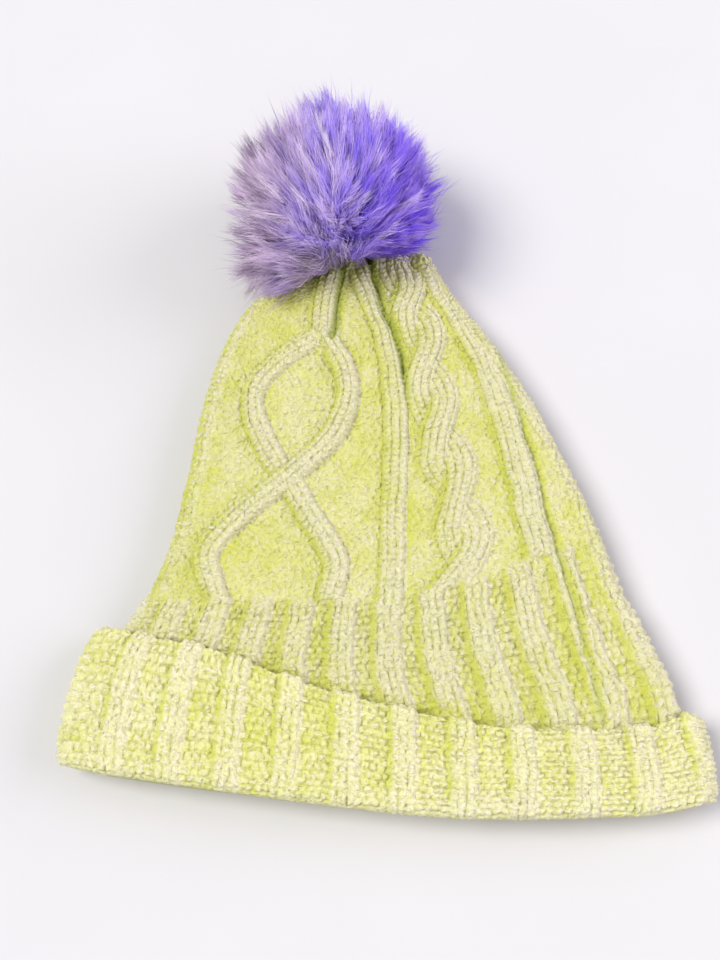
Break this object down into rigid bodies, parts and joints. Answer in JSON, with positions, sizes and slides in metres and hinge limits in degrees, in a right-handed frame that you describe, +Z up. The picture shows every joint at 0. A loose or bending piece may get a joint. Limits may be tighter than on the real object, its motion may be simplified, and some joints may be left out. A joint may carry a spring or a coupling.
{
  "type": "pom pom beanie",
  "caption": "Slouchy cable-knit beanie with a turned-up ribbed brim and a long-pile faux-fur pom-pom tied to its gathered crown, lying flat",
  "frame": {"origin": "On the flat underside of the turned-up brim, in the middle of its width, 20 mm up from the lowest point of the fold, with the hat lying flat on its back", "axes": "+X to the right across the hat as seen from above, +Y from the brim towards the pom-pom, +Z up away from the surface that it lies on"},
  "size_m": [0.239, 0.3031, 0.081],
  "materials": {
    "knit_body": "fuzzy chenille yarn, mottled lime green and cream",
    "knit_cuff": "fuzzy chenille yarn, paler than the body",
    "seam_yarn": "matte plied yarn",
    "button": "satin moulded",
    "cord": "matte braided cord",
    "felt": "pressed felt",
    "fur": "long-pile faux fur in clumped locks",
    "fibrefill": "loose polyester filling"
  },
  "bodies": {
    "hat": {"hat_body": "knit_body", "back_seam_yarn": "seam_yarn", "crown_gather_yarn": "seam_yarn", "anchor_button": "button", "anchor_knot": "cord", "tie_cord": "cord"},
    "cuff": {"cuff": "knit_cuff"},
    "pompom_knot": {"tie_knot": "cord"},
    "pompom_base": {"pompom_base_washer": "felt", "pompom_drawstring": "cord"},
    "pompom": {"pompom_fur": "fur", "pompom_stuffing": "fibrefill"}
  },
  "joints": [
    {"name": "cuff_pull_down", "type": "slide", "parent": "hat", "child": "cuff", "axis": [0, -1, 0], "range_m": [0, 0.028]},
    {"name": "pompom_lean", "type": "hinge", "parent": "hat", "child": "pompom_knot", "pos_m": [-0.026, 0.224, 0.017], "axis": [0, 1, 0], "range_deg": [-18, 18], "stiffness_Nm_per_rad": 0.05},
    {"name": "pompom_nod", "type": "hinge", "parent": "pompom_knot", "child": "pompom_base", "pos_m": [-0.026, 0.224, 0.017], "axis": [1, 0, 0], "range_deg": [-10, 18], "stiffness_Nm_per_rad": 0.05},
    {"name": "pompom_turn", "type": "hinge", "parent": "pompom_base", "child": "pompom", "pos_m": [-0.026, 0.224, 0.017], "axis": [-0.2673, 0.5345, 0.8018], "range_deg": [-25, 25], "stiffness_Nm_per_rad": 0.01}
  ]
}
